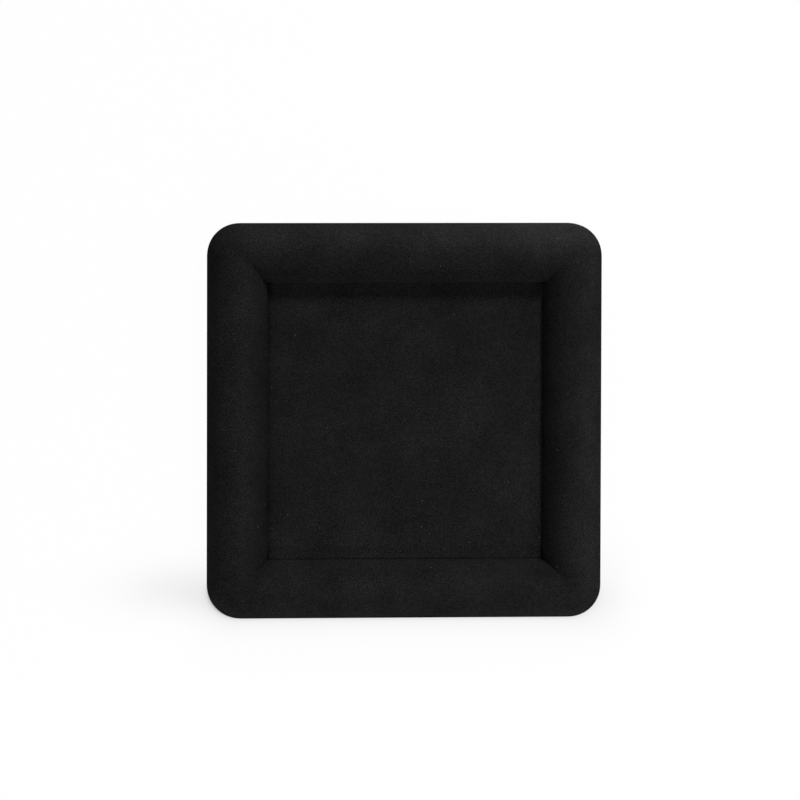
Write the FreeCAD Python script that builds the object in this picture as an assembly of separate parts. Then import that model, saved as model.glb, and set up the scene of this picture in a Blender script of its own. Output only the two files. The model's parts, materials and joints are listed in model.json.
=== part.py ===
"""Square presentation tray for jewellery: a flat well inside a padded rounded rim, wrapped in microfibre.

The tray lies on its underside. Z is up out of the well, X and Y run along the sides, and the origin is the
centre of the underside. From the table up it is built of a flocked card lining, the hem of the rim cover, a
base panel, four mitred round-topped rails pinned to it, a foam strip over each rail and the rim cover. The
well holds a separate insert: a padded and wrapped board, stuck down with strips of foam tape.
"""

import FreeCAD
import Part

import os

Vector = FreeCAD.Vector

# Overall form, measured over the finished cover, in millimetres
tray_side = 200.0
outer_shoulder_radius = 16.0
inner_shoulder_radius = 14.0

# Sheet goods
cover_thickness = 0.7
rim_foam_thickness = 2.5
lining_thickness = 1.0

# Base panel, and the straight outer flank of the rails below their rounded top
base_thickness = 5.0
rail_flank_height = 2.3

# Turned edges of the rim cover, outside under the panel and inside under the insert
rim_hem_width = 14.0
rim_flange_width = 8.0
lining_inset = 4.0

# Insert that fills the well
insert_gap = 0.25
insert_board_thickness = 2.0
insert_foam_thickness = 2.0
insert_edge_radius = 2.0
insert_hem_width = 12.0

# Tape under the insert
tape_count = 3
tape_width = 20.0
tape_margin = 6.0

# Brads that hold the rails, driven up through the base panel
brads_per_rail = 3
brad_width = 1.25
brad_thickness = 1.0
brad_head_width = 2.0
brad_head_height = 0.8
brad_point_length = 1.5
brad_end_margin = 14.0
brad_bite_share = 0.66

# How far a cutting tool reaches past what it cuts
overrun = 5.0

# The sides in turn, each a quarter turn on from the last and mitred halfway between
side_names = ("front", "right", "back", "left")
full_turn = 360
side_turn = full_turn / len(side_names)
mitre_turn = side_turn / 2

# Heights, from the underside up
lining_top = lining_thickness
base_bottom = lining_top + cover_thickness
base_top = base_bottom + base_thickness
outer_spring = base_top + rail_flank_height
rim_top = outer_spring + outer_shoulder_radius
inner_spring = rim_top - inner_shoulder_radius
flange_top = base_top + cover_thickness
board_bottom = flange_top + cover_thickness
board_top = board_bottom + insert_board_thickness
insert_foam_top = board_top + insert_foam_thickness
insert_top = insert_foam_top + cover_thickness

# Distances in from the outer face of a side; a corner turns on the outer shoulder's radius, so it is a ball
crest_inset = outer_shoulder_radius
corner_radius = outer_shoulder_radius
rim_width = outer_shoulder_radius + inner_shoulder_radius
foam_inset = cover_thickness
rail_inset = foam_inset + rim_foam_thickness
flange_edge = rim_width + rim_flange_width
insert_inset = rim_width + insert_gap
insert_hem_edge = insert_inset + insert_hem_width

centre_line = Vector(0, 0, 1)


def on_front(inset, height):
    """The point of the front side's cross-section that lies this far in from its outer face."""
    return Vector(0, inset - tray_side / 2, height)


def line(start, end):
    return Part.LineSegment(start, end).toShape()


def face_of(edges):
    """The flat face inside a closed run of edges."""
    return Part.Face(Part.Wire(edges))


def polygon(points):
    """The flat face inside a closed run of straight lines."""
    return Part.Face(Part.makePolygon(points + points[:1]))


def quarter_arc(centre, start, end):
    """The quarter circle about a centre, from one of its ends to the other."""
    halfway = (start + end - 2 * centre).normalize() * (start - centre).Length
    return Part.Arc(start, centre + halfway, end).toShape()


def crown(inset):
    """The rounded top of the rim in section: its outer shoulder, then its tighter inner one."""
    outer_end = on_front(inset, outer_spring)
    crest = on_front(crest_inset, rim_top - inset)
    inner_end = on_front(rim_width - inset, inner_spring)
    return [
        quarter_arc(on_front(crest_inset, outer_spring), outer_end, crest),
        quarter_arc(on_front(crest_inset, inner_spring), crest, inner_end),
    ]


def dome_section(inset):
    """The round-topped section that stands on the base panel, this far inside the finished rim."""
    outer_foot = on_front(inset, base_top)
    inner_foot = on_front(rim_width - inset, base_top)
    return face_of([
        line(outer_foot, on_front(inset, outer_spring)),
        *crown(inset),
        line(on_front(rim_width - inset, inner_spring), inner_foot),
        line(inner_foot, outer_foot),
    ])


def cover_section():
    """The rim cover in section: hem, outer face, crown, inner face and the flange under the insert."""
    lower_edge = on_front(0, lining_top)
    flange_root = on_front(rim_width, flange_top)
    flange_tip_above = on_front(flange_edge, flange_top)
    flange_tip_below = on_front(flange_edge, base_top)
    lined_foot = on_front(rim_width - cover_thickness, base_top)
    lined_lower_edge = on_front(cover_thickness, base_bottom)
    hem_end_above = on_front(rim_hem_width, base_bottom)
    hem_end_below = on_front(rim_hem_width, lining_top)
    return face_of([
        line(lower_edge, on_front(0, outer_spring)),
        *crown(0),
        line(on_front(rim_width, inner_spring), flange_root),
        line(flange_root, flange_tip_above),
        line(flange_tip_above, flange_tip_below),
        line(flange_tip_below, lined_foot),
        line(lined_foot, on_front(rim_width - cover_thickness, inner_spring)),
        *reversed(crown(cover_thickness)),
        line(on_front(cover_thickness, outer_spring), lined_lower_edge),
        line(lined_lower_edge, hem_end_above),
        line(hem_end_above, hem_end_below),
        line(hem_end_below, lower_edge),
    ])


def front_quarter():
    """The wedge of space that belongs to the front side, between the two diagonals of the tray."""
    half = tray_side / 2
    bottom = -overrun
    plan = polygon([Vector(0, 0, bottom), Vector(-half, -half, bottom), Vector(half, -half, bottom)])
    return plan.extrude(Vector(0, 0, rim_top + 2 * overrun))


def corner_strip():
    """The part of the section's plane that turns round a corner, from outside to the corner's axis."""
    bottom = -overrun
    top = rim_top + overrun
    return polygon([
        on_front(-overrun, bottom),
        on_front(corner_radius, bottom),
        on_front(corner_radius, top),
        on_front(-overrun, top),
    ])


def front_side(section):
    """One side of the rim: a straight run, mitred inside, with half of a rounded corner at each end."""
    half_run = tray_side / 2 - corner_radius
    run = section.translated(Vector(-half_run, 0, 0)).extrude(Vector(2 * half_run, 0, 0))
    side = run.common(front_quarter())
    turning = section.common(corner_strip())
    for end, turn in ((half_run, mitre_turn), (-half_run, -mitre_turn)):
        shift = Vector(end, 0, 0)
        axis_point = on_front(corner_radius, 0) + shift
        side = side.fuse(turning.translated(shift).revolve(axis_point, centre_line, turn))
    return side.removeSplitter().Solids[0]


def turned(shape, side):
    """A shape of the front side, carried round to another side of the tray."""
    return shape.rotated(Vector(0, 0, 0), centre_line, side * side_turn)


def on_all_sides(name, front):
    """The four pieces that repeat the front one, by their names."""
    return {f"{name}_{side_name}": turned(front, side) for side, side_name in enumerate(side_names)}


def slab(inset, bottom, top):
    """A square block about the tray's centre, this far inside its outer face."""
    side = tray_side - 2 * inset
    return Part.makeBox(side, side, top - bottom, Vector(-side / 2, -side / 2, bottom))


def middle_height(block):
    return (block.BoundBox.ZMin + block.BoundBox.ZMax) / 2


def upper_edges(block):
    """The edges round the top of a block."""
    return [edge for edge in block.Edges if edge.BoundBox.ZMin > middle_height(block)]


def upright_edges(block):
    """The edges that stand from the underside of a block to its top."""
    middle = middle_height(block)
    return [edge for edge in block.Edges if edge.BoundBox.ZMin < middle < edge.BoundBox.ZMax]


def rounded_plate(inset, bottom, top):
    """A flat plate that follows the tray's rounded outline, this far inside it."""
    plate = slab(inset, bottom, top)
    return plate.makeFillet(corner_radius - inset, upright_edges(plate))


def soft_block(inset, bottom, top, radius):
    """A square block with its upright and upper edges rounded alike."""
    block = slab(inset, bottom, top)
    return block.makeFillet(radius, upright_edges(block) + upper_edges(block))


def brad():
    """One brad, its head centred on the origin and its chisel point up."""
    rail_height = rim_top - rail_inset - base_top
    length = base_thickness + brad_bite_share * rail_height
    shoulder = length - brad_point_length
    half_head = brad_head_width / 2
    half_shank = brad_width / 2
    outline = polygon([
        Vector(-half_head, 0, 0),
        Vector(half_head, 0, 0),
        Vector(half_head, 0, brad_head_height),
        Vector(half_shank, 0, brad_head_height),
        Vector(half_shank, 0, shoulder),
        Vector(0, 0, length),
        Vector(-half_shank, 0, shoulder),
        Vector(-half_shank, 0, brad_head_height),
        Vector(-half_head, 0, brad_head_height),
    ])
    blade = outline.translated(Vector(0, -brad_thickness / 2, 0))
    return blade.extrude(Vector(0, brad_thickness, 0))


def front_brads():
    """The row of brads along the front rail, evenly spaced between its inner mitre ends."""
    reach = tray_side / 2 - rim_width - brad_end_margin
    spacing = 2 * reach / (brads_per_rail - 1)
    seat = on_front(crest_inset, base_bottom)
    places = [seat + Vector(number * spacing - reach, 0, 0) for number in range(brads_per_rail)]
    return Part.makeCompound([brad().translated(place) for place in places])


def rail_brads():
    """The brads of all four rails."""
    rows = [turned(front_brads(), side) for side in range(len(side_names))]
    return Part.makeCompound([one for row in rows for one in row.Solids])


def base_panel():
    """The board that carries the rails, pierced by their brads."""
    return rounded_plate(cover_thickness, base_bottom, base_top).cut(rail_brads())


def front_rail():
    """A round-topped rail, mitred at both ends and pierced by its brads."""
    return front_side(dome_section(rail_inset)).cut(front_brads())


def front_rim_foam():
    """A foam strip bent over a rail, mitred with its neighbours."""
    return front_side(dome_section(foam_inset).cut(dome_section(rail_inset)).Faces[0])


def rim_cover():
    """The microfibre over the rim: one piece, slit at the inner corners and drawn round the outer ones."""
    front = front_side(cover_section())
    others = [turned(front, side) for side in range(1, len(side_names))]
    return front.fuse(others).removeSplitter()


def insert_core():
    """The board and foam of the insert together, as the cover is drawn over them."""
    core_inset = insert_inset + cover_thickness
    return soft_block(core_inset, board_bottom, insert_foam_top, insert_edge_radius - cover_thickness)


def insert_board():
    return insert_core().common(slab(insert_inset, board_bottom, board_top))


def insert_foam():
    return insert_core().common(slab(insert_inset, board_top, insert_foam_top))


def insert_cover():
    """The microfibre over the insert, turned in under its board on all four sides."""
    wrapped = soft_block(insert_inset, flange_top, insert_top, insert_edge_radius)
    window = slab(insert_hem_edge, flange_top - overrun, board_top)
    return wrapped.cut(insert_core()).cut(window)


def insert_tape():
    """Strips of double-sided foam tape, as thick as the turned edges that lift the insert off the panel."""
    reach = tray_side / 2 - max(flange_edge, insert_hem_edge)
    length = 2 * (reach - tape_margin)
    pitch = 2 * reach / tape_count
    strips = []
    for number in range(tape_count):
        middle = (number + 1 / 2) * pitch - reach
        corner = Vector(-length / 2, middle - tape_width / 2, base_top)
        strips.append(Part.makeBox(length, tape_width, board_bottom - base_top, corner))
    return Part.makeCompound(strips)


def bottom_lining():
    """The flocked card that closes the underside and hides the raw edge of the hem."""
    return rounded_plate(lining_inset, 0, lining_top)


def tray():
    """Every piece of the tray by its name."""
    return {
        "bottom_lining": bottom_lining(),
        "base_panel": base_panel(),
        **on_all_sides("rail", front_rail()),
        "rail_brads": rail_brads(),
        **on_all_sides("rim_foam", front_rim_foam()),
        "rim_cover": rim_cover(),
        "insert_tape": insert_tape(),
        "insert_board": insert_board(),
        "insert_foam": insert_foam(),
        "insert_cover": insert_cover(),
    }


os.makedirs("parts", exist_ok=True)
for node, piece in tray().items():
    print(f"{node}: {len(piece.Solids)} solid(s), {piece.Volume:.0f} mm3, valid {piece.isValid()}")
    piece.exportStep(f"parts/{node}.step")
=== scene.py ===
import json
import math

import bpy
from mathutils import Matrix, Vector


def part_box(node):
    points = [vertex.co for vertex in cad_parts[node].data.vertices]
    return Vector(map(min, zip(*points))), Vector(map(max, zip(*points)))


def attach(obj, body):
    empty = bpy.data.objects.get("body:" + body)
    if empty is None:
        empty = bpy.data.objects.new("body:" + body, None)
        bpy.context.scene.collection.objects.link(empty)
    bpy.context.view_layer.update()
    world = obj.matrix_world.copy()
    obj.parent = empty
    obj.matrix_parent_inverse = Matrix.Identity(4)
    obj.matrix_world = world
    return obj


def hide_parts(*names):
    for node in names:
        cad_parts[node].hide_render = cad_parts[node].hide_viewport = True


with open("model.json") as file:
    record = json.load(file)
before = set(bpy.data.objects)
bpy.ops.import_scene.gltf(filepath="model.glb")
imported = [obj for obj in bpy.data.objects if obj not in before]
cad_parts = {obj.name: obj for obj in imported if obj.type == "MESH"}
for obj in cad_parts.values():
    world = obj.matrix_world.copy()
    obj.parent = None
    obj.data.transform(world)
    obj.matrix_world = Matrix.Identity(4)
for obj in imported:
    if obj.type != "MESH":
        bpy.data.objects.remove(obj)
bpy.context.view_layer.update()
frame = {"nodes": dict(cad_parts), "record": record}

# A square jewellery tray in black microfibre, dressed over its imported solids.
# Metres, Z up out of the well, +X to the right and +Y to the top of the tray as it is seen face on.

MM = 0.001
SIDE_NAMES = ("front", "right", "back", "left")
SIDES = len(SIDE_NAMES)

# Rim section: the two shoulders that meet at the crest, the rolls at the cover's turned edges, and its hems
OUTER_SHOULDER = 16.0 * MM
INNER_SHOULDER = 14.0 * MM
LOWER_ROLL = 0.6 * MM
JOINT_ROLL = 0.5 * MM
HEM_WIDTH = 14.0 * MM
FLANGE_WIDTH = 8.0 * MM

# How tightly the rim turns a corner in plan, at its crest and down in the mitre, and the share of the inner
# shoulder over which it tightens
CREST_TURN = 3.0 * MM
MITRE_TURN = 0.5 * MM
TIGHTENING_SHARE = 0.5

# Insert: the turn of its corners in plan and how that widens over the top roll, its rolls, its hem, and how
# far in from its edge an even grid begins
INSERT_TURN = 1.0 * MM
TURN_GROWTH_SHARE = 0.3
INSERT_ROLL = 0.2 * MM
INSERT_LOWER_ROLL = 0.6 * MM
INSERT_HEM_WIDTH = 12.0 * MM
INSERT_GRID_INSET = 8.0 * MM

# Rings under the insert's foam: how far in from its edge each lies, and by what share it is evenly divided
PAD_UNDER_RINGS = ((4.0 * MM, 0.4), (1.0 * MM, 0.0))

# Room left between cloth or foam and what it lies against
CLOTH_CLEARANCE = 0.15 * MM
FOAM_CLEARANCE = 0.15 * MM
RAIL_CLEARANCE = 0.3 * MM

# Mesh steps along a side, which are even by a share and otherwise crowd towards its corners, and round half
# a corner
SIDE_STEPS = 40
EVEN_SHARE = 0.3
HALF_CORNER = math.radians(45)
HALF_CORNER_STEPS = 5
COLUMNS_PER_SIDE = SIDE_STEPS + 2 * HALF_CORNER_STEPS
RING_COLUMNS = SIDES * COLUMNS_PER_SIDE

# Mesh steps along the sections
SHOULDER_STEPS = 18
WALL_STEPS = 3
HEM_STEPS = 5
LOWER_ROLL_STEPS = 4
JOINT_ROLL_STEPS = 3
FLANGE_STEPS = 4
INSERT_HEM_STEPS = 4
INSERT_LOWER_ROLL_STEPS = 3
INSERT_ROLL_STEPS = 6
INSERT_TOP_STEPS = 4

# Sizes that the frame gives
rim_low, rim_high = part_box("rim_cover")
base_low, base_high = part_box("base_panel")
insert_low, insert_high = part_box("insert_cover")
rail_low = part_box("rail_front")[0]
strip_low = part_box("rim_foam_front")[0]
pad_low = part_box("insert_foam")[0]

half = rim_high.x
crest_z = rim_high.z
cover_thickness = base_low.z - rim_low.z
cloth_thickness = cover_thickness - 2 * CLOTH_CLEARANCE
hem_z = rim_low.z + CLOTH_CLEARANCE
flange_z = base_high.z + cover_thickness
outer_spring = crest_z - OUTER_SHOULDER
inner_spring = crest_z - INNER_SHOULDER
rim_width = OUTER_SHOULDER + INNER_SHOULDER
rail_inset = half + rail_low.y
insert_half = insert_high.x
insert_top = insert_high.z


# Curves and grids

def steps(count, last=False):
    """Even shares from 0 towards 1, with 1 itself only where it is the last of its run."""
    return [i / count for i in range(count + last)]


def run(start, end, count, last=False):
    """Points on a straight stretch of a section, from start towards end."""
    return [tuple(a + (b - a) * s for a, b in zip(start, end)) for s in steps(count, last)]


def quarter(centre, radii, start, turn, count, last=False):
    """Points on a quarter of an ellipse in a section, from an angle in degrees through a turn."""
    points = []
    for s in steps(count, last):
        angle = math.radians(start + turn * s)
        points.append((centre[0] + radii[0] * math.cos(angle), centre[1] + radii[1] * math.sin(angle)))
    return points


def crowd(share):
    """A place along a side from -1 to 1, with the points closer together towards the corners."""
    even = 2 * share - 1
    return EVEN_SHARE * even + (1 - EVEN_SHARE) * math.sin(even * math.pi / 2)


def side_columns(half_size, turn):
    """One side of a rounded square as (along, out), from the middle of one corner to that of the next."""
    straight = half_size - turn
    first = []
    for s in steps(HALF_CORNER_STEPS):
        angle = HALF_CORNER * (1 - s)
        first.append((-straight - turn * math.sin(angle), straight + turn * math.cos(angle)))
    middle = [(straight * crowd(s), half_size) for s in steps(SIDE_STEPS, last=True)]
    last = [(-along, out) for along, out in reversed(first[1:])]
    return first + middle + last


def even_columns(half_size):
    """One side of a plain square as (along, out), evenly divided."""
    return [(half_size * (2 * s - 1), half_size) for s in steps(COLUMNS_PER_SIDE)]


def ring(half_size, turn, height, even=0.0):
    """A closed loop of points round the tray, counter-clockwise from the front left corner. Its corners have
    this turn, and by an even share it goes over to a plain square."""
    rounded = side_columns(half_size, turn)
    plain = even_columns(half_size)
    points = []
    for side in range(SIDES):
        angle = side * math.tau / SIDES
        for (a, o), (b, p) in zip(rounded, plain):
            along = a + (b - a) * even
            out = o + (p - o) * even
            points.append(Vector((
                along * math.cos(angle) + out * math.sin(angle),
                along * math.sin(angle) - out * math.cos(angle),
                height,
            )))
    return points


def ring_points(rings):
    """The points of several rings, one ring after another, each given by what the ring function takes."""
    return [point for shape in rings for point in ring(*shape)]


def bridge(rows, width, closed=True):
    """Quads between rows of points that are stored one after another."""
    faces = []
    for row in range(rows - 1):
        for column in range(width if closed else width - 1):
            after = (column + 1) % width
            faces.append((
                row * width + column, row * width + after,
                (row + 1) * width + after, (row + 1) * width + column,
            ))
    return faces


def grid_inside(points, first, flip=False):
    """Fills an evenly divided square ring, whose points start at first, with a grid of quads, and adds the
    points that the grid needs."""
    size = COLUMNS_PER_SIDE
    corner, opposite = points[first], points[first + 2 * size]
    index = {}
    for step in range(size):
        index[step, 0] = first + step
        index[size, step] = first + size + step
        index[size - step, size] = first + 2 * size + step
        index[0, size - step] = first + 3 * size + step
    for row in range(1, size):
        for column in range(1, size):
            index[column, row] = len(points)
            points.append(Vector((
                corner.x + (opposite.x - corner.x) * column / size,
                corner.y + (opposite.y - corner.y) * row / size,
                corner.z,
            )))
    faces = []
    for row in range(size):
        for column in range(size):
            quad = (
                index[column, row], index[column + 1, row],
                index[column + 1, row + 1], index[column, row + 1],
            )
            faces.append(quad[::-1] if flip else quad)
    return faces


def add_object(name, data):
    """Puts a mesh, lamp or camera into the scene."""
    thing = bpy.data.objects.new(name, data)
    bpy.context.scene.collection.objects.link(thing)
    return thing


def mesh_piece(name, points, faces, material):
    """A smooth-shaded mesh that rides on the tray and takes the finish of one of the record's slots."""
    mesh = bpy.data.meshes.new(name)
    mesh.from_pydata(points, [], faces)
    mesh.shade_smooth()
    mesh.materials.append(material)
    piece = add_object(name, mesh)
    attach(piece, "root")
    return piece


# Sections

def plan_turn(inset):
    """The radius of the rim's corner in plan, this far in from the outer face."""
    if inset < OUTER_SHOULDER:
        return math.hypot(OUTER_SHOULDER - inset, CREST_TURN)
    share = min((inset - OUTER_SHOULDER) / (TIGHTENING_SHARE * INNER_SHOULDER), 1)
    return CREST_TURN + (MITRE_TURN - CREST_TURN) * share


def crown(depth):
    """The round top of the rim in section, this deep under the face of its cover."""
    outer = OUTER_SHOULDER - depth
    inner = INNER_SHOULDER - depth
    over = quarter((OUTER_SHOULDER, outer_spring), (-outer, outer), 0, 90, SHOULDER_STEPS)
    down = quarter((OUTER_SHOULDER, inner_spring), (-inner, inner), 90, 90, SHOULDER_STEPS, last=True)
    return over + down


def rim_cover_section():
    """The face of the rim cover as (inset, height), from the hem under the base to the flange in the well."""
    joint = rim_width + JOINT_ROLL
    return (
        run((HEM_WIDTH, hem_z), (LOWER_ROLL, hem_z), HEM_STEPS)
        + quarter((LOWER_ROLL, hem_z + LOWER_ROLL), (LOWER_ROLL, LOWER_ROLL), 270, -90, LOWER_ROLL_STEPS)
        + run((0, hem_z + LOWER_ROLL), (0, outer_spring), WALL_STEPS)
        + crown(0)
        + run((rim_width, inner_spring), (rim_width, flange_z + JOINT_ROLL), WALL_STEPS)[1:]
        + quarter((joint, flange_z + JOINT_ROLL), (JOINT_ROLL, JOINT_ROLL), 180, 90, JOINT_ROLL_STEPS)
        + run((joint, flange_z), (rim_width + FLANGE_WIDTH, flange_z), FLANGE_STEPS, last=True)
    )


def strip_section(depth, foot):
    """One face of a rim foam strip as (inset, height), over the rail from foot to foot."""
    start = run((depth, foot), (depth, outer_spring), WALL_STEPS)
    end = run((rim_width - depth, inner_spring), (rim_width - depth, foot), WALL_STEPS, last=True)[1:]
    return start + crown(depth) + end


# Material nodes

# Turn that keeps the noise out of line with the tray's sides, and the values that it mostly stays between
NOISE_TURN = (0.5, 0.3, 0.0)
NOISE_LOW = 0.25
NOISE_HIGH = 0.75


def node_material(name):
    """A new node material, with its tree, its shader and object coordinates in metres."""
    material = bpy.data.materials.new(name)
    material.use_nodes = True
    tree = material.node_tree
    shader = tree.nodes["Principled BSDF"]
    place = tree.nodes.new("ShaderNodeTexCoord").outputs["Object"]
    return material, tree, shader, place


def noise_map(tree, place, grain, low, high, detail=2.0, stretch=(1, 1, 1)):
    """Cloudy noise whose features are about grain across, mapped to run from low to high."""
    mapping = tree.nodes.new("ShaderNodeMapping")
    mapping.inputs["Scale"].default_value = [s / grain for s in stretch]
    mapping.inputs["Rotation"].default_value = NOISE_TURN
    tree.links.new(place, mapping.inputs["Vector"])
    texture = tree.nodes.new("ShaderNodeTexNoise")
    texture.inputs["Scale"].default_value = 1.0
    texture.inputs["Detail"].default_value = detail
    tree.links.new(mapping.outputs["Vector"], texture.inputs["Vector"])
    spread = tree.nodes.new("ShaderNodeMapRange")
    spread.inputs["From Min"].default_value = NOISE_LOW
    spread.inputs["From Max"].default_value = NOISE_HIGH
    spread.inputs["To Min"].default_value = low
    spread.inputs["To Max"].default_value = high
    tree.links.new(texture.outputs["Fac"], spread.inputs["Value"])
    return spread.outputs["Result"]


def math_node(tree, operation, first, second=None):
    """A math node on one or two values, each a socket or a number."""
    node = tree.nodes.new("ShaderNodeMath")
    node.operation = operation
    for value, socket in zip((first, second), node.inputs):
        if isinstance(value, bpy.types.NodeSocket):
            tree.links.new(value, socket)
        elif value is not None:
            socket.default_value = value
    return node.outputs["Value"]


def product(tree, first, *others):
    """Several values multiplied together."""
    for other in others:
        first = math_node(tree, "MULTIPLY", first, other)
    return first


def smooth_range(tree, value, span, levels):
    """A value that goes smoothly from one level to another while the given value crosses a span."""
    node = tree.nodes.new("ShaderNodeMapRange")
    node.interpolation_type = "SMOOTHSTEP"
    for socket, number in zip(("From Min", "From Max", "To Min", "To Max"), (*span, *levels)):
        node.inputs[socket].default_value = number
    tree.links.new(value, node.inputs["Value"])
    return node.outputs["Result"]


def plan_parts(tree, place):
    """The X and Y of a place."""
    split = tree.nodes.new("ShaderNodeSeparateXYZ")
    tree.links.new(place, split.inputs["Vector"])
    return split.outputs["X"], split.outputs["Y"]


def pick(tree, share, first, second):
    """Goes from a first value to a second by a share."""
    mix = tree.nodes.new("ShaderNodeMix")
    for value, socket in ((share, "Factor"), (first, "A"), (second, "B")):
        tree.links.new(value, mix.inputs[socket])
    return mix.outputs["Result"]


def shaded(tree, colour, strength):
    """A colour made lighter and darker by a value."""
    node = tree.nodes.new("ShaderNodeVectorMath")
    node.operation = "SCALE"
    node.inputs[0].default_value = colour
    tree.links.new(strength, node.inputs["Scale"])
    return node.outputs["Vector"]


def mixed(tree, share, first, second_colour):
    """A colour that goes over to a second one by a share."""
    node = tree.nodes.new("ShaderNodeMix")
    node.data_type = "RGBA"
    tree.links.new(share, node.inputs["Factor"])
    tree.links.new(first, node.inputs["A"])
    node.inputs["B"].default_value = (*second_colour, 1)
    return node.outputs["Result"]


def specks(tree, place, spacing, size, share):
    """Small scattered specks: 1 inside a speck and 0 outside, in a share of the cells of a loose grid."""
    cells = tree.nodes.new("ShaderNodeTexVoronoi")
    cells.inputs["Scale"].default_value = 1 / spacing
    tree.links.new(place, cells.inputs["Vector"])
    near = math_node(tree, "LESS_THAN", cells.outputs["Distance"], size / spacing)
    draw = tree.nodes.new("ShaderNodeSeparateColor")
    tree.links.new(cells.outputs["Color"], draw.inputs["Color"])
    chosen = math_node(tree, "LESS_THAN", draw.outputs["Red"], share)
    return product(tree, near, chosen)


def relief(tree, shader, place, grain, depth, detail=3.0, stretch=(1, 1, 1), strength=1.0):
    """Fine cloudy relief of the given grain and depth on a surface."""
    height = noise_map(tree, place, grain, 0, 1, detail, stretch)
    node = tree.nodes.new("ShaderNodeBump")
    node.inputs["Distance"].default_value = depth
    node.inputs["Strength"].default_value = strength
    tree.links.new(height, node.inputs["Height"])
    tree.links.new(node.outputs["Normal"], shader.inputs["Normal"])


def slot_colour(slot):
    """The base colour that the record gives a material slot."""
    return next(m["base_color"] for m in frame["record"]["materials"] if m["slot"] == slot)


# Materials

LINT_COLOUR = (0.07, 0.07, 0.071)
FIBREBOARD_FLECK = (0.2, 0.12, 0.06)
GREYBOARD_FLECK = (0.16, 0.15, 0.14)

# How far a noise is drawn out along X, Y and Z
EVEN_GRAIN = (1, 1, 1)
LAYERED_GRAIN = (1, 1, 2.5)
DRAWN_COLOUR_GRAIN = (1, 1, 0.05)
DRAWN_GLOSS_GRAIN = (1, 1, 0.1)

# Painted light and shade on each side: how much lighter or darker the cloth is painted on the rim's outer
# shoulder, crest, inner slope and foot, and on the floor beside it, with how far in each tone lies and where
# plain cloth begins
PAINTED_LIGHT_TONES = {
    "left": (1.25, 1.2, 0.87, 0.82, 0.93),
    "right": (1.2, 0.95, 0.8, 0.9, 1.1),
    "top": (1.25, 1.0, 1.1, 1.15, 1.1),
    "bottom": (1.03, 1.05, 0.96, 1.12, 1.25),
}
TONE_INSETS = (
    0.5 * OUTER_SHOULDER,
    OUTER_SHOULDER,
    OUTER_SHOULDER + 0.6 * INNER_SHOULDER,
    rim_width,
    rim_width + 2.0 * MM,
)
PLAIN_TONE_INSET = rim_width + 9.0 * MM
TONE_BLEND = 5.0 * MM
BRIGHTEST_TONE = 2.0


def painted_light_ramp(tree, out, tones):
    """The painted light and shade across one side of the rim, from plain on the floor of the well to its
    outer face.
    A colour ramp holds no more than 1, so its tones are shares of the brightest."""
    ramp = tree.nodes.new("ShaderNodeValToRGB")
    stops = ramp.color_ramp.elements
    places = [(PLAIN_TONE_INSET, 1.0), *reversed(list(zip(TONE_INSETS, tones)))]
    while len(stops) < len(places):
        stops.new(0.5)
    for stop, (inset, tone) in zip(stops, places):
        stop.position = 1 - inset / half
        stop.color = (*[tone / BRIGHTEST_TONE] * 3, 1)
    tree.links.new(out, ramp.inputs["Fac"])
    return math_node(tree, "MULTIPLY", ramp.outputs["Color"], BRIGHTEST_TONE)


def painted_rim_light(tree, place):
    """Painted light and shade on the rim: lighter and darker bands, different on each side, that stand in for
    how light and shade fall on it.
    """
    x, y = plan_parts(tree, place)
    across = math_node(tree, "ABSOLUTE", x)
    along = math_node(tree, "ABSOLUTE", y)
    out = math_node(tree, "DIVIDE", math_node(tree, "MAXIMUM", across, along), half)
    sides = {side: painted_light_ramp(tree, out, tones) for side, tones in PAINTED_LIGHT_TONES.items()}
    beside = pick(tree, math_node(tree, "GREATER_THAN", x, 0.0), sides["left"], sides["right"])
    above = pick(tree, math_node(tree, "GREATER_THAN", y, 0.0), sides["bottom"], sides["top"])
    lean = math_node(tree, "SUBTRACT", across, along)
    return pick(tree, smooth_range(tree, lean, (-TONE_BLEND, TONE_BLEND), (0.0, 1.0)), above, beside)


def microfibre():
    """Black suede cloth: a fine nap, brushed patches a little lighter or darker, painted light and shade
    across the rim, and a few lint specks.
    """
    material, tree, shader, place = node_material("black_microfibre")
    nap = noise_map(tree, place, grain=0.5 * MM, low=0.2, high=1.8)
    fine_nap = noise_map(tree, place, grain=0.3 * MM, low=0.1, high=1.9)
    brushed = noise_map(tree, place, grain=24 * MM, low=0.8, high=1.2, detail=3.0)
    streaks = noise_map(tree, place, grain=5 * MM, low=0.93, high=1.07)
    # The rim's tone is painted light and shade: lighter and darker bands on each side of the rim.
    tone = product(tree, nap, fine_nap, brushed, streaks, painted_rim_light(tree, place))
    ground = shaded(tree, slot_colour("black_microfibre"), tone)
    lint = specks(tree, place, spacing=4 * MM, size=0.28 * MM, share=0.13)
    tree.links.new(mixed(tree, lint, ground, LINT_COLOUR), shader.inputs["Base Color"])
    roughness = noise_map(tree, place, grain=3 * MM, low=0.86, high=1.0)
    tree.links.new(roughness, shader.inputs["Roughness"])
    shader.inputs["Specular IOR Level"].default_value = 0.0
    relief(tree, shader, place, grain=0.35 * MM, depth=0.08 * MM, strength=0.2)
    return material


def foam():
    """Dark grey closed-cell foam with a pitted skin."""
    material, tree, shader, place = node_material("rim_foam")
    pits = noise_map(tree, place, grain=0.6 * MM, low=0.75, high=1.25)
    patches = noise_map(tree, place, grain=15 * MM, low=0.93, high=1.07)
    colour = shaded(tree, slot_colour("rim_foam"), product(tree, pits, patches))
    tree.links.new(colour, shader.inputs["Base Color"])
    shader.inputs["Roughness"].default_value = 0.9
    shader.inputs["Specular IOR Level"].default_value = 0.25
    relief(tree, shader, place, grain=0.5 * MM, depth=0.15 * MM)
    return material


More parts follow.
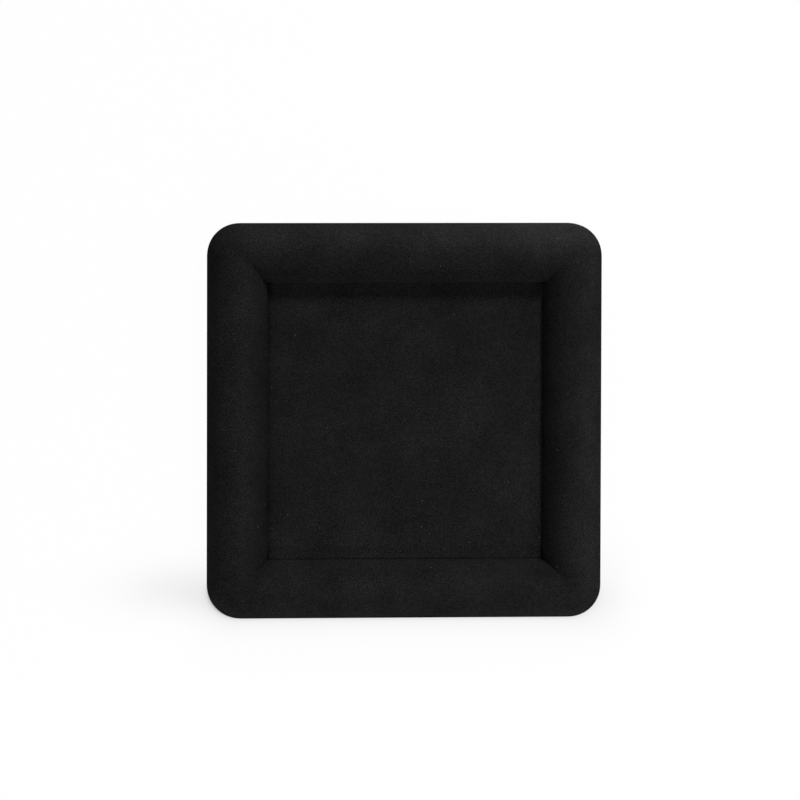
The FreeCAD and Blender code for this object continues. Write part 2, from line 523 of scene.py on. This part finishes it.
def board(slot, fleck_colour, stretch):
    """Pressed board: a mottled ground with fine flecks of fibre."""
    material, tree, shader, place = node_material(slot)
    mottle = noise_map(tree, place, grain=9 * MM, low=0.9, high=1.1, detail=4.0)
    fibres = noise_map(tree, place, grain=0.8 * MM, low=0.82, high=1.18, stretch=stretch)
    ground = shaded(tree, slot_colour(slot), product(tree, mottle, fibres))
    flecks = specks(tree, place, spacing=2.2 * MM, size=0.35 * MM, share=0.4)
    tree.links.new(mixed(tree, flecks, ground, fleck_colour), shader.inputs["Base Color"])
    roughness = noise_map(tree, place, grain=4 * MM, low=0.75, high=0.92)
    tree.links.new(roughness, shader.inputs["Roughness"])
    shader.inputs["Specular IOR Level"].default_value = 0.3
    relief(tree, shader, place, grain=0.6 * MM, depth=0.06 * MM, detail=4.0)
    return material


def flocked_card():
    """Black card with a short even flock."""
    material, tree, shader, place = node_material("lining_card")
    flock = noise_map(tree, place, grain=0.5 * MM, low=0.7, high=1.3)
    patches = noise_map(tree, place, grain=30 * MM, low=0.92, high=1.08)
    colour = shaded(tree, slot_colour("lining_card"), product(tree, flock, patches))
    tree.links.new(colour, shader.inputs["Base Color"])
    shader.inputs["Roughness"].default_value = 0.95
    shader.inputs["Specular IOR Level"].default_value = 0.1
    shader.inputs["Sheen Weight"].default_value = 0.03
    shader.inputs["Sheen Roughness"].default_value = 0.5
    relief(tree, shader, place, grain=0.4 * MM, depth=0.1 * MM)
    return material


def tape():
    """White foam tape, finely pored."""
    material, tree, shader, place = node_material("tape_foam")
    pores = noise_map(tree, place, grain=0.5 * MM, low=0.92, high=1.05)
    patches = noise_map(tree, place, grain=12 * MM, low=0.95, high=1.02)
    colour = shaded(tree, slot_colour("tape_foam"), product(tree, pores, patches))
    tree.links.new(colour, shader.inputs["Base Color"])
    shader.inputs["Roughness"].default_value = 0.7
    relief(tree, shader, place, grain=0.4 * MM, depth=0.08 * MM)
    return material


def drawn_steel():
    """Bright wire with fine drawing lines along it."""
    material, tree, shader, place = node_material("brad_steel")
    lines = noise_map(tree, place, grain=0.12 * MM, low=0.85, high=1.1, stretch=DRAWN_COLOUR_GRAIN)
    tree.links.new(shaded(tree, slot_colour("brad_steel"), lines), shader.inputs["Base Color"])
    roughness = noise_map(tree, place, grain=0.3 * MM, low=0.25, high=0.45, stretch=DRAWN_GLOSS_GRAIN)
    tree.links.new(roughness, shader.inputs["Roughness"])
    shader.inputs["Metallic"].default_value = 1.0
    relief(tree, shader, place, grain=0.12 * MM, depth=0.01 * MM, detail=2.0, stretch=DRAWN_COLOUR_GRAIN)
    return material


# Cloth

# Settings of the cloth solver, with the stiffness against shear and bending as shares of that along the sheet
CLOTH_FRAMES = 12
CLOTH_QUALITY = 5
CLOTH_MASS = 0.001
AIR_DAMPING = 2
SHEAR_SHARE = 1 / 2
BENDING_SHARE = 1 / 40

# Pressure under each cover, and how stiff the cover is along its face
RIM_PRESSURE = 600.0
RIM_STIFFNESS = 1.0
INSERT_PRESSURE = 0.1
INSERT_STIFFNESS = 20.0

# How far the covers may swell, the outer stretch of the rim's cover that is glued, how far in from the crest
# its mitres are held, and how deep the insert's free face reaches into its top roll
SLOPE_SWELL = 0.4 * MM
FOOT_SWELL = 0.55 * MM
JOINT_SWELL = 0.2 * MM
INSERT_SWELL = 0.25 * MM
GLUED_OUTER = 8.0 * MM
MITRE_HOLD = 5.0 * MM
FREE_FACE_DEPTH = 0.1 * MM

# Share of its thickness that a cover keeps where it turns more tightly than it is thick
THIN_SHARE = 0.35


def settle(piece, room, pressure, stiffness):
    """Swells a sheet over its padding with the cloth solver. Room is how far each point may move, and a point
    with none is glued down."""
    start = [v.co.copy() for v in piece.data.vertices]
    group = piece.vertex_groups.new(name="held")
    group.add([index for index, far in enumerate(room) if far == 0], 1.0, "REPLACE")
    solver = piece.modifiers.new("cloth", "CLOTH")
    settings = solver.settings
    settings.quality = CLOTH_QUALITY
    settings.mass = CLOTH_MASS
    settings.tension_stiffness = stiffness
    settings.compression_stiffness = stiffness
    settings.shear_stiffness = stiffness * SHEAR_SHARE
    settings.bending_stiffness = stiffness * BENDING_SHARE
    settings.air_damping = AIR_DAMPING
    settings.vertex_group_mass = group.name
    settings.use_pressure = True
    settings.uniform_pressure_force = pressure
    settings.effector_weights.gravity = 0
    solver.collision_settings.use_collision = False
    scene = bpy.context.scene
    for step in range(1, CLOTH_FRAMES + 1):
        scene.frame_set(step)
    swollen = piece.evaluated_get(bpy.context.evaluated_depsgraph_get())
    ends = [v.co.copy() for v in swollen.data.vertices]
    piece.modifiers.remove(solver)
    piece.vertex_groups.remove(group)
    moves = [after - before for before, after in zip(start, ends)]
    for vertex, before, move, far in zip(piece.data.vertices, start, moves, room):
        vertex.co = before + move * (far / max(far, move.length) if far else 0)
    scene.frame_set(1)


def thicken(piece, thin=range(0)):
    """Gives a cover its thickness, on the side away from its face, and smooths it. The points of a thin range
    get only a share of the thickness."""
    wall = piece.modifiers.new("wall", "SOLIDIFY")
    wall.thickness = cloth_thickness
    wall.offset = -1
    if thin:
        full = piece.vertex_groups.new(name="full_thickness")
        full.add([index for index in range(len(piece.data.vertices)) if index not in thin], 1.0, "REPLACE")
        wall.vertex_group = full.name
        wall.thickness_vertex_group = THIN_SHARE
    smooth = piece.modifiers.new("smooth", "SUBSURF")
    smooth.levels = 1
    smooth.render_levels = 1


# Pieces

def rim_room(inset, height):
    """How far the rim cover may swell: most on its inner slope, less where it meets the insert, and nowhere
    low on its outer slope or along its hems, where it is pulled tight."""
    if inset < GLUED_OUTER or inset > rim_width or height < flange_z:
        return 0.0
    if height < insert_top:
        return JOINT_SWELL
    share = (inset - GLUED_OUTER) / (rim_width - GLUED_OUTER)
    return FOOT_SWELL * share + SLOPE_SWELL * math.sin(math.pi * share)


def make_rim_cover(material):
    """The cover of the rim: one sheet, turned under the base outside and under the insert inside."""
    section = rim_cover_section()
    points = ring_points((half - inset, plan_turn(inset), height) for inset, height in section)
    faces = bridge(len(section), RING_COLUMNS)
    piece = mesh_piece("rim_cover_cloth", points, faces, material)
    room = []
    for inset, height in section:
        row = [rim_room(inset, height)] * RING_COLUMNS
        if inset > OUTER_SHOULDER + MITRE_HOLD:
            for corner in range(0, RING_COLUMNS, COLUMNS_PER_SIDE):
                row[corner] = 0.0
        room += row
    settle(piece, room, RIM_PRESSURE, RIM_STIFFNESS)
    thicken(piece)
    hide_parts("rim_cover")


def strip_faces(rows, width):
    """The faces of a strip whose rows run over its face and back along its underside: both of these, the foot
    between the last row and the first, and the two ends."""
    faces = bridge(rows, width, closed=False)
    last = (rows - 1) * width
    end = width - 1
    for column in range(end):
        faces.append((last + column, last + column + 1, column + 1, column))
    for row in range(rows // 2 - 1):
        low, high = row * width, (row + 1) * width
        low_back, high_back = last - low, last - high
        faces.append((low, high, high_back, low_back))
        faces.append((low_back + end, high_back + end, high + end, low + end))
    return faces


def make_strips(material):
    """The four foam strips over the rails, mitred at the corners."""
    foot = strip_low.z + FOAM_CLEARANCE
    face = strip_section(cover_thickness + FOAM_CLEARANCE, foot)
    back = strip_section(rail_inset - RAIL_CLEARANCE, foot)
    section = face + back[::-1]
    loops = [ring(half - inset, plan_turn(inset), height) for inset, height in section]
    width = COLUMNS_PER_SIDE + 1
    faces = strip_faces(len(section), width)
    shrink = 1 - FOAM_CLEARANCE / half
    for side, name in enumerate(SIDE_NAMES):
        scale = Vector((1, shrink, 1)) if side % 2 else Vector((shrink, 1, 1))
        first = side * COLUMNS_PER_SIDE
        columns = [column % RING_COLUMNS for column in range(first, first + width)]
        points = [loop[column] * scale for loop in loops for column in columns]
        piece = mesh_piece(f"rim_foam_strip_{name}", points, faces, material)
        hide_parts(f"rim_foam_{name}")


def insert_top_rings(inset, top):
    """Rings from the top roll of the insert, this deep under its face, to the square in its middle."""
    roll = INSERT_ROLL
    turn = max(INSERT_TURN - inset, MITRE_TURN)
    rings = []
    top_roll = quarter((inset + roll, top - roll), (-roll, roll), 0, 90, INSERT_ROLL_STEPS, last=True)
    for place, height in top_roll:
        rings.append((insert_half - place, turn + TURN_GROWTH_SHARE * (place - inset), height, 0.0))
    turn = rings[-1][1]
    for share in steps(INSERT_TOP_STEPS, last=True)[1:]:
        place = inset + roll + (INSERT_GRID_INSET - inset - roll) * share
        rings.append((insert_half - place, turn, top, share))
    return rings


def make_insert_cover(material):
    """The cover of the insert: one sheet over its face, turned under its board."""
    low = insert_low.z + CLOTH_CLEARANCE
    roll = INSERT_LOWER_ROLL
    under = (
        run((INSERT_HEM_WIDTH, low), (roll, low), INSERT_HEM_STEPS)
        + quarter((roll, low + roll), (roll, roll), 270, -90, INSERT_LOWER_ROLL_STEPS)
        + run((0, low + roll), (0, insert_top - INSERT_ROLL), WALL_STEPS)
    )
    rings = [(insert_half - place, INSERT_TURN, height, 0.0) for place, height in under]
    rings += insert_top_rings(0, insert_top)
    points = ring_points(rings)
    faces = bridge(len(rings), RING_COLUMNS)
    faces += grid_inside(points, (len(rings) - 1) * RING_COLUMNS)
    piece = mesh_piece("insert_cover_cloth", points, faces, material)
    room = []
    for _, _, height, _ in rings:
        room += [INSERT_SWELL if height > insert_top - FREE_FACE_DEPTH else 0.0] * RING_COLUMNS
    room += [INSERT_SWELL] * (len(points) - len(room))
    settle(piece, room, INSERT_PRESSURE, INSERT_STIFFNESS)
    first = len(under) * RING_COLUMNS
    thicken(piece, thin=range(first, first + (INSERT_ROLL_STEPS + 1) * RING_COLUMNS))
    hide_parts("insert_cover")


def make_insert_pad(material):
    """The thin foam of the insert, rounded at its top edge."""
    bottom = pad_low.z + FOAM_CLEARANCE
    inset = cover_thickness + FOAM_CLEARANCE
    upper = insert_top_rings(inset, insert_top - inset)
    size, turn = upper[0][:2]
    rings = [(insert_half - INSERT_GRID_INSET, turn, bottom, 1.0)]
    rings += [(size - place, turn, bottom, even) for place, even in PAD_UNDER_RINGS]
    rings += [(size, turn, bottom + FOAM_CLEARANCE, 0.0)]
    rings += upper
    points = ring_points(rings)
    faces = bridge(len(rings), RING_COLUMNS)
    faces += grid_inside(points, (len(rings) - 1) * RING_COLUMNS)
    faces += grid_inside(points, 0, flip=True)
    piece = mesh_piece("insert_foam_pad", points, faces, material)
    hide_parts("insert_foam")


def finish_nodes():
    """Gives the solids that stay their materials."""
    fibreboard = board("fibreboard", FIBREBOARD_FLECK, LAYERED_GRAIN)
    finishes = {f"rail_{side}": fibreboard for side in SIDE_NAMES}
    finishes["base_panel"] = fibreboard
    finishes["bottom_lining"] = flocked_card()
    finishes["rail_brads"] = drawn_steel()
    finishes["insert_board"] = board("greyboard", GREYBOARD_FLECK, EVEN_GRAIN)
    finishes["insert_tape"] = tape()
    for node, material in finishes.items():
        materials = frame["nodes"][node].data.materials
        materials.clear()
        materials.append(material)


# Stage

FLOOR_SIDE = 8.0
FLOOR_DROP = 0.1 * MM
FLOOR_COLOUR = (0.85, 0.85, 0.85, 1)
FLOOR_WHITE_SHARE = 0.98

# Shade on the floor under the tray, and how far in from its outline it fades
FOOTPRINT_SHADE = 0.8
FOOTPRINT_FADE = 2.5 * MM

# Faint shade on the floor at the tray's lower side, which fades out between two places up the tray: the reach
# and depth of the shade along its edge, and the middle, reach and depth of the patches beside its corners
LOWER_SIDE = (-96 * MM, -80 * MM)
EDGE_SHADES = ((0.8 * MM, 0.5), (5.5 * MM, 0.14))
PATCH_SHADES = (
    ((-103 * MM, -86 * MM), (37 * MM, 12 * MM), 0.13),
    ((102 * MM, -88 * MM), (14 * MM, 20 * MM), 0.06),
)


def white_for_camera(tree, lit, white, share, surface):
    """Mixes white into what the camera, mirrors and glass see of a lit surface."""
    path = tree.nodes.new("ShaderNodeLightPath")
    seen = path.outputs["Is Camera Ray"]
    for ray in ("Is Glossy Ray", "Is Transmission Ray"):
        seen = math_node(tree, "MAXIMUM", seen, path.outputs[ray])
    mix = tree.nodes.new("ShaderNodeMixShader")
    tree.links.new(math_node(tree, "MULTIPLY", seen, share), mix.inputs["Fac"])
    tree.links.new(lit, mix.inputs[1])
    tree.links.new(white, mix.inputs[2])
    tree.links.new(mix.outputs["Shader"], surface)


def length_of(tree, first, second):
    """The length of a step from its two parts."""
    squares = [math_node(tree, "MULTIPLY", part, part) for part in (first, second)]
    return math_node(tree, "SQRT", math_node(tree, "ADD", *squares))


def outside(tree, x, y):
    """The distance outside the tray's rounded outline, and less than zero within it."""
    past = []
    for place in (x, y):
        beyond = math_node(tree, "SUBTRACT", math_node(tree, "ABSOLUTE", place), half - OUTER_SHOULDER)
        past.append(math_node(tree, "MAXIMUM", beyond, 0.0))
    return math_node(tree, "SUBTRACT", length_of(tree, *past), OUTER_SHOULDER)


def faded(tree, distance, depth):
    """What is left of the floor's white where a shade of this depth fades with a distance."""
    fade = math_node(tree, "EXPONENT", math_node(tree, "MULTIPLY", distance, -1.0))
    return math_node(tree, "SUBTRACT", 1.0, math_node(tree, "MULTIPLY", fade, depth))


def contact_shade(tree, place):
    """How white the floor is: dark under the tray, with a faint shade at the side on which the photographed
    tray stands."""
    x, y = plan_parts(tree, place)
    away = outside(tree, x, y)
    white = smooth_range(tree, away, (-FOOTPRINT_FADE, 0.0), (1 - FOOTPRINT_SHADE, 1.0))
    beyond = math_node(tree, "MAXIMUM", away, 0.0)
    lower = smooth_range(tree, y, LOWER_SIDE, (1.0, 0.0))
    for reach, depth in EDGE_SHADES:
        distance = math_node(tree, "DIVIDE", beyond, reach)
        white = product(tree, white, faded(tree, distance, product(tree, lower, depth)))
    for (middle_x, middle_y), (reach_x, reach_y), depth in PATCH_SHADES:
        beside = math_node(tree, "DIVIDE", math_node(tree, "SUBTRACT", x, middle_x), reach_x)
        below = math_node(tree, "DIVIDE", math_node(tree, "SUBTRACT", y, middle_y), reach_y)
        step = length_of(tree, beside, below)
        white = product(tree, white, faded(tree, product(tree, step, step), depth))
    return white


def make_floor():
    """A white floor that keeps a light shadow of the tray, with painted shade under the tray and along its
    lower side.
    """
    material, tree, shader, place = node_material("floor_white")
    shader.inputs["Base Color"].default_value = FLOOR_COLOUR
    shader.inputs["Roughness"].default_value = 1.0
    shader.inputs["Specular IOR Level"].default_value = 0.0
    white = tree.nodes.new("ShaderNodeEmission")
    tree.links.new(contact_shade(tree, place), white.inputs["Strength"])
    surface = tree.nodes["Material Output"].inputs["Surface"]
    white_for_camera(tree, shader.outputs["BSDF"], white.outputs["Emission"], FLOOR_WHITE_SHARE, surface)
    reach = FLOOR_SIDE / 2
    corners = [(-reach, -reach), (reach, -reach), (reach, reach), (-reach, reach)]
    mesh = bpy.data.meshes.new("floor")
    mesh.from_pydata([(x, y, -FLOOR_DROP) for x, y in corners], [], [(0, 1, 2, 3)])
    mesh.materials.append(material)
    add_object("floor", mesh)


def make_world():
    """A surround that gives the tray no light and is white where the camera sees it."""
    world = bpy.data.worlds.new("surround")
    world.use_nodes = True
    tree = world.node_tree
    dark = tree.nodes["Background"]
    dark.inputs["Strength"].default_value = 0.0
    white = tree.nodes.new("ShaderNodeBackground")
    white.inputs["Color"].default_value = (1, 1, 1, 1)
    surface = tree.nodes["World Output"].inputs["Surface"]
    white_for_camera(tree, dark.outputs["Background"], white.outputs["Background"], 1.0, surface)
    bpy.context.scene.world = world


# Lights and camera

OUT_OF_WELL = (0, 0, 1)
UP_THE_TRAY = (0, 1, 0)

# Name, place, width, height, and the level at which it lights a surface that faces it at the tray's middle
LIGHTS = (
    ("key", (0.523, 1.312, 0.891), 0.272, 0.272, 0.83),
    ("front_left", (-0.827, -0.413, 1.181), 0.6, 0.6, 0.25),
    ("front_right", (0.827, -0.413, 1.181), 0.6, 0.6, 0.09),
    ("right_box", (0.3, 0.0, 0.2), 0.22, 0.04, 0.17),
    ("bottom_box", (0.0, -0.3, 0.2), 0.22, 0.04, 0.27),
    ("top_right_card", (0.09, 0.17, 0.04), 0.04, 0.03, 0.1),
    ("lower_right_card", (0.17, -0.21, 0.05), 0.06, 0.04, 0.11),
    ("lower_left_card", (-0.16, -0.22, 0.05), 0.06, 0.04, 0.065),
)

# Lights above this height have their upper edge up the tray, and lower ones stand upright
HIGH_LIGHT = 0.5

# The photograph's frame: its width in pixels, the pixel at the middle of the tray's outline, and the width
# that the frame spans at the tray
PHOTO_PIXELS = 800
TRAY_PIXEL = (403.2, 419.7)
FRAME_WIDTH = 0.4060

# The camera: its distance, how far it leans along X and Y for each metre up, its roll and its lens
CAMERA_DISTANCE = 3.6
CAMERA_LEAN = (-0.095, 0.06)
CAMERA_ROLL = -0.0025
SENSOR_WIDTH = 36.0
CLIP_START = 0.05
CLIP_END = 50


def facing(toward, up):
    """A rotation whose Z axis points toward a direction, with its Y axis as near as can be to up."""
    z = Vector(toward).normalized()
    x = Vector(up).cross(z).normalized()
    return Matrix((x, z.cross(x), z)).transposed().to_euler()


def make_lights():
    """Soft boxes and cards round the tray, each aimed at its middle and unseen by the camera."""
    for name, place, width, height, level in LIGHTS:
        lamp = bpy.data.lights.new(name, "AREA")
        lamp.shape = "RECTANGLE"
        lamp.size = width
        lamp.size_y = height
        lamp.energy = level * math.pi ** 2 * Vector(place).length_squared
        light = add_object(name, lamp)
        light.location = place
        light.rotation_euler = facing(place, UP_THE_TRAY if place[2] > HIGH_LIGHT else OUT_OF_WELL)
        light.visible_camera = False


def make_camera():
    """A long lens, a little left of and above the tray's axis, framed as the photograph is."""
    toward = Vector((*CAMERA_LEAN, 1)).normalized()
    lens = bpy.data.cameras.new("camera")
    lens.sensor_width = SENSOR_WIDTH
    lens.lens = SENSOR_WIDTH * CAMERA_DISTANCE / FRAME_WIDTH
    lens.clip_start = CLIP_START
    lens.clip_end = CLIP_END
    camera = add_object("camera", lens)
    scale = FRAME_WIDTH / PHOTO_PIXELS
    middle = PHOTO_PIXELS / 2
    aim = Vector(((middle - TRAY_PIXEL[0]) * scale, (TRAY_PIXEL[1] - middle) * scale, 0))
    camera.location = aim + toward * CAMERA_DISTANCE
    camera.rotation_euler = facing(toward, (CAMERA_ROLL, 1, 0))
    bpy.context.scene.camera = camera


make_camera()
cloth_material = microfibre()
foam_material = foam()
make_strips(foam_material)
make_rim_cover(cloth_material)
make_insert_pad(foam_material)
make_insert_cover(cloth_material)
finish_nodes()
make_floor()
make_world()
make_lights()
bpy.context.scene.view_settings.view_transform = "Standard"
